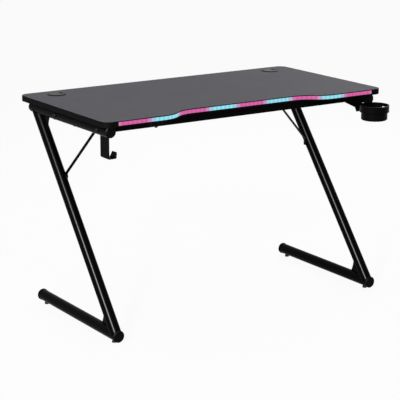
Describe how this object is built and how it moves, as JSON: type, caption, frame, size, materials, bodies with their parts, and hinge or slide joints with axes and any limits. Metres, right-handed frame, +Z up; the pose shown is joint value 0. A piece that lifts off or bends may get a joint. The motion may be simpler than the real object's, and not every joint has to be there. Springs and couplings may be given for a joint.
{
  "type": "gaming desk",
  "caption": "Desk with a wave-cut front edge lit by a light strip, on slanted Z-shaped tube legs, with a swivelling cup holder, a headphone hook and cable grommets.",
  "frame": {"origin": "on the floor, at the middle of the whole footprint, cup holder included", "axes": "+X along the width to the user's right, +Y from the front edge to the back, +Z up"},
  "size_m": [1.13, 0.714, 0.7425],
  "materials": {
    "board": "particle board under a dark grey textured laminate, black edges",
    "frame_paint": "satin black powder coat on steel tube",
    "black_plastic": "moulded black plastic, fine texture",
    "cup_plastic": "moulded black plastic, slight sheen",
    "light_channel": "black extruded channel",
    "light_strip": "white flexible circuit strip",
    "light_chip": "white light package",
    "diffuser": "milky cover lit pink and cyan in turns",
    "zinc": "zinc-plated steel",
    "black_bolt": "black oxide steel",
    "insert_brass": "plain brass",
    "foot_pad": "black nylon pad on a threaded stud",
    "circuit": "green solder mask",
    "button": "polished black plastic"
  },
  "bodies": {
    "desk": {"desktop_board": "board", "led_channel": "light_channel", "led_strip": "light_strip", "led_chips": "light_chip", "led_diffuser": "diffuser", "front_crossbar": "frame_paint", "rear_crossbar": "frame_paint", "crossbar_bolts": "black_bolt", "brace_bolts": "black_bolt", "board_bolts": "zinc", "board_inserts": "insert_brass", "leveller_nuts": "zinc", "cup_bracket": "frame_paint", "cup_bracket_screws": "zinc", "cup_pivot_pin": "zinc", "headphone_hook": "frame_paint", "hook_screws": "zinc", "switch_base": "black_plastic", "switch_housing": "black_plastic", "switch_board": "circuit", "power_socket": "black_plastic", "left_top_rail": "frame_paint", "left_leg": "frame_paint", "left_foot_rail": "frame_paint", "left_upper_gusset": "frame_paint", "left_lower_gusset": "frame_paint", "left_brace": "frame_paint", "left_rail_front_cap": "black_plastic", "left_rail_rear_cap": "black_plastic", "left_foot_front_cap": "black_plastic", "left_foot_rear_cap": "black_plastic", "left_grommet_sleeve": "black_plastic", "right_top_rail": "frame_paint", "right_leg": "frame_paint", "right_foot_rail": "frame_paint", "right_upper_gusset": "frame_paint", "right_lower_gusset": "frame_paint", "right_brace": "frame_paint", "right_rail_front_cap": "black_plastic", "right_rail_rear_cap": "black_plastic", "right_foot_front_cap": "black_plastic", "right_foot_rear_cap": "black_plastic", "right_grommet_sleeve": "black_plastic"},
    "cup": {"cup_basket": "cup_plastic"},
    "left_grommet_lid": {"left_grommet_cap": "black_plastic"},
    "right_grommet_lid": {"right_grommet_cap": "black_plastic"},
    "light_button": {"led_button": "button"},
    "left_front_foot": {"left_front_leveller": "foot_pad"},
    "left_rear_foot": {"left_rear_leveller": "foot_pad"},
    "right_front_foot": {"right_front_leveller": "foot_pad"},
    "right_rear_foot": {"right_rear_leveller": "foot_pad"}
  },
  "joints": [
    {"name": "cup_swivel", "type": "hinge", "parent": "desk", "child": "cup", "pos_m": [0.478, -0.244, 0.692], "axis": [0, 0, 1], "range_deg": [-40, 40]},
    {"name": "left_lid_turn", "type": "hinge", "parent": "desk", "child": "left_grommet_lid", "pos_m": [-0.456, 0.285, 0.74], "axis": [0, 0, 1], "continuous": true},
    {"name": "right_lid_turn", "type": "hinge", "parent": "desk", "child": "right_grommet_lid", "pos_m": [0.456, 0.285, 0.74], "axis": [0, 0, 1], "continuous": true},
    {"name": "light_button_press", "type": "slide", "parent": "desk", "child": "light_button", "axis": [0, 0, 1], "range_m": [0, 0.001], "stiffness_N_per_m": 400, "springref_m": -0.001},
    {"name": "left_front_foot_height", "type": "slide", "parent": "desk", "child": "left_front_foot", "axis": [0, 0, -1], "range_m": [0, 0.01]},
    {"name": "left_rear_foot_height", "type": "slide", "parent": "desk", "child": "left_rear_foot", "axis": [0, 0, -1], "range_m": [0, 0.01]},
    {"name": "right_front_foot_height", "type": "slide", "parent": "desk", "child": "right_front_foot", "axis": [0, 0, -1], "range_m": [0, 0.01]},
    {"name": "right_rear_foot_height", "type": "slide", "parent": "desk", "child": "right_rear_foot", "axis": [0, 0, -1], "range_m": [0, 0.01]}
  ]
}
